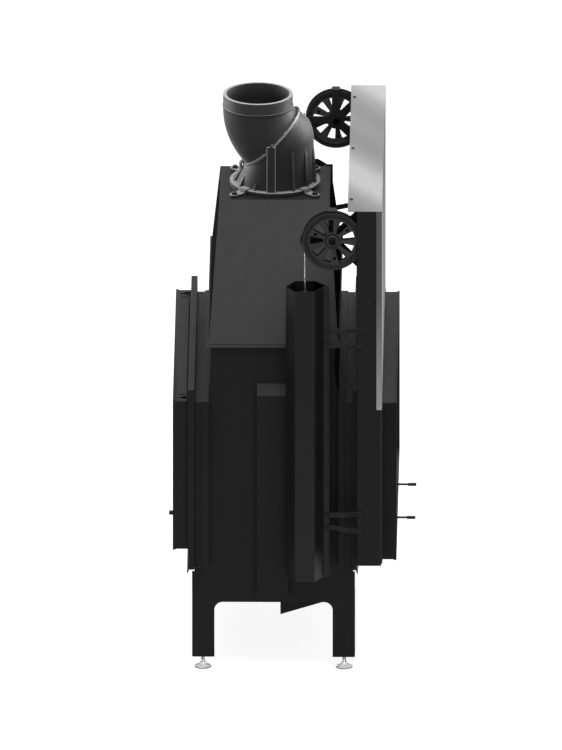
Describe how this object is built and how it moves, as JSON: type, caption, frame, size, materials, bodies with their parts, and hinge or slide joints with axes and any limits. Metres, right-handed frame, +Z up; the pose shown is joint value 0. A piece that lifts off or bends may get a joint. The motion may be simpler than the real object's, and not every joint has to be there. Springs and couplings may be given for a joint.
{
  "type": "fireplace insert",
  "caption": "Steel fireplace insert with a counterweighted lift-up front door, hinged rear glass door, smoke hood, turning flue elbow and levelling feet.",
  "frame": {"origin": "on the floor, below the middle of the whole outline", "axes": "+Z up, the lift door faces -Y, +X is the right hand seen from the front"},
  "size_m": [1.1532, 0.702, 1.586],
  "materials": {
    "black_steel": "matt black stove paint",
    "cast_black": "fine sand-cast skin, dark grey paint",
    "cover_steel": "brushed across the width",
    "bright_metal": "bright plating",
    "plain_steel": "plain drawn steel",
    "fire_glass": "dark ceramic glass",
    "rope_seal": "braided rope",
    "refractory": "pressed mineral board",
    "slide_block": "moulded, plain"
  },
  "bodies": {
    "housing": {"firebox_wall_left": "black_steel", "firebox_wall_right": "black_steel", "firebox_front_wall": "black_steel", "firebox_rear_wall": "black_steel", "firebox_floor": "black_steel", "front_end_frame": "black_steel", "rear_end_frame": "black_steel", "front_face_plate": "black_steel", "rear_face_plate": "black_steel", "smoke_hood": "black_steel", "hearth_carrier": "black_steel", "air_plenum": "black_steel", "side_duct_left": "black_steel", "side_duct_right": "black_steel", "leg_frame_left": "black_steel", "leg_frame_right": "black_steel", "guide_post_left": "black_steel", "guide_post_right": "black_steel", "door_sill": "black_steel", "rear_surround": "black_steel", "front_surround": "black_steel", "pulley_bracket_left": "black_steel", "pulley_bracket_right": "black_steel", "counterweight_tube_left": "black_steel", "counterweight_tube_right": "black_steel", "tube_brackets": "black_steel", "flue_base": "cast_black", "flue_clamps": "cast_black", "log_guards": "cast_black", "top_cover": "cover_steel", "lift_cable_left": "plain_steel", "lift_cable_right": "plain_steel", "rear_hinge_pins": "plain_steel", "pulley_axles": "plain_steel", "housing_screws": "plain_steel", "flue_bolts": "plain_steel", "lift_door_seal": "rope_seal", "hearth_slab": "refractory", "side_liners": "refractory", "baffle": "refractory"},
    "lift_door": {"lift_door_frame": "black_steel", "lift_door_glass": "fire_glass", "door_carriers": "black_steel", "guide_blocks": "slide_block", "door_handle": "plain_steel"},
    "rear_door": {"rear_door_frame": "black_steel", "rear_door_glass": "fire_glass", "rear_door_seal": "rope_seal"},
    "rear_latch": {"rear_latch": "black_steel"},
    "air_rod_left": {"air_rod_left": "plain_steel"},
    "air_rod_right": {"air_rod_right": "plain_steel"},
    "flue_elbow": {"flue_elbow": "cast_black"},
    "pulley_left": {"pulley_left": "cast_black"},
    "pulley_right": {"pulley_right": "cast_black"},
    "counterweight_left": {"counterweight_left": "cast_black"},
    "counterweight_right": {"counterweight_right": "cast_black"},
    "foot_front_left": {"foot_front_left": "bright_metal"},
    "foot_front_right": {"foot_front_right": "bright_metal"},
    "foot_rear_left": {"foot_rear_left": "bright_metal"},
    "foot_rear_right": {"foot_rear_right": "bright_metal"}
  },
  "joints": [
    {"name": "door_lift", "type": "slide", "parent": "housing", "child": "lift_door", "axis": [0, 0, 1], "range_m": [0, 0.4], "deforming": ["lift_cable_left", "lift_cable_right"]},
    {"name": "weight_left_drop", "type": "slide", "parent": "housing", "child": "counterweight_left", "axis": [0, 0, 1], "range_m": [-0.4, 0]},
    {"name": "pulley_left_spin", "type": "hinge", "parent": "housing", "child": "pulley_left", "pos_m": [-0.529, -0.117, 1.327], "axis": [1, 0, 0], "range_deg": [-300, 0]},
    {"name": "weight_right_drop", "type": "slide", "parent": "housing", "child": "counterweight_right", "axis": [0, 0, 1], "range_m": [-0.4, 0]},
    {"name": "pulley_right_spin", "type": "hinge", "parent": "housing", "child": "pulley_right", "pos_m": [0.529, -0.117, 1.327], "axis": [1, 0, 0], "range_deg": [-300, 0]},
    {"name": "rear_door_swing", "type": "hinge", "parent": "housing", "child": "rear_door", "pos_m": [0.46, 0.324, 0.6], "axis": [0, 0, -1], "range_deg": [0, 100]},
    {"name": "rear_latch_turn", "type": "hinge", "parent": "rear_door", "child": "rear_latch", "pos_m": [-0.45, 0.333, 0.511], "axis": [0, -1, 0], "range_deg": [0, 90]},
    {"name": "flue_elbow_turn", "type": "hinge", "parent": "housing", "child": "flue_elbow", "pos_m": [0, 0.062, 1.456], "axis": [0, 0.7071, 0.7071], "continuous": true},
    {"name": "air_rod_left_push", "type": "slide", "parent": "housing", "child": "air_rod_left", "axis": [0, 1, 0], "range_m": [0, 0.03]},
    {"name": "air_rod_right_push", "type": "slide", "parent": "housing", "child": "air_rod_right", "axis": [0, 1, 0], "range_m": [0, 0.03]},
    {"name": "foot_front_left_turn", "type": "hinge", "parent": "housing", "child": "foot_front_left", "pos_m": [-0.429, -0.15, 0], "axis": [0, 0, 1], "continuous": true},
    {"name": "foot_front_right_turn", "type": "hinge", "parent": "housing", "child": "foot_front_right", "pos_m": [0.429, -0.15, 0], "axis": [0, 0, 1], "continuous": true},
    {"name": "foot_rear_left_turn", "type": "hinge", "parent": "housing", "child": "foot_rear_left", "pos_m": [-0.429, 0.254, 0], "axis": [0, 0, 1], "continuous": true},
    {"name": "foot_rear_right_turn", "type": "hinge", "parent": "housing", "child": "foot_rear_right", "pos_m": [0.429, 0.254, 0], "axis": [0, 0, 1], "continuous": true}
  ],
  "couplings": [
    {"joint": "weight_left_drop", "follows": "door_lift", "ratio": -1},
    {"joint": "pulley_left_spin", "follows": "door_lift", "rad_per_m": -12.723},
    {"joint": "weight_right_drop", "follows": "door_lift", "ratio": -1},
    {"joint": "pulley_right_spin", "follows": "door_lift", "rad_per_m": -12.723}
  ]
}
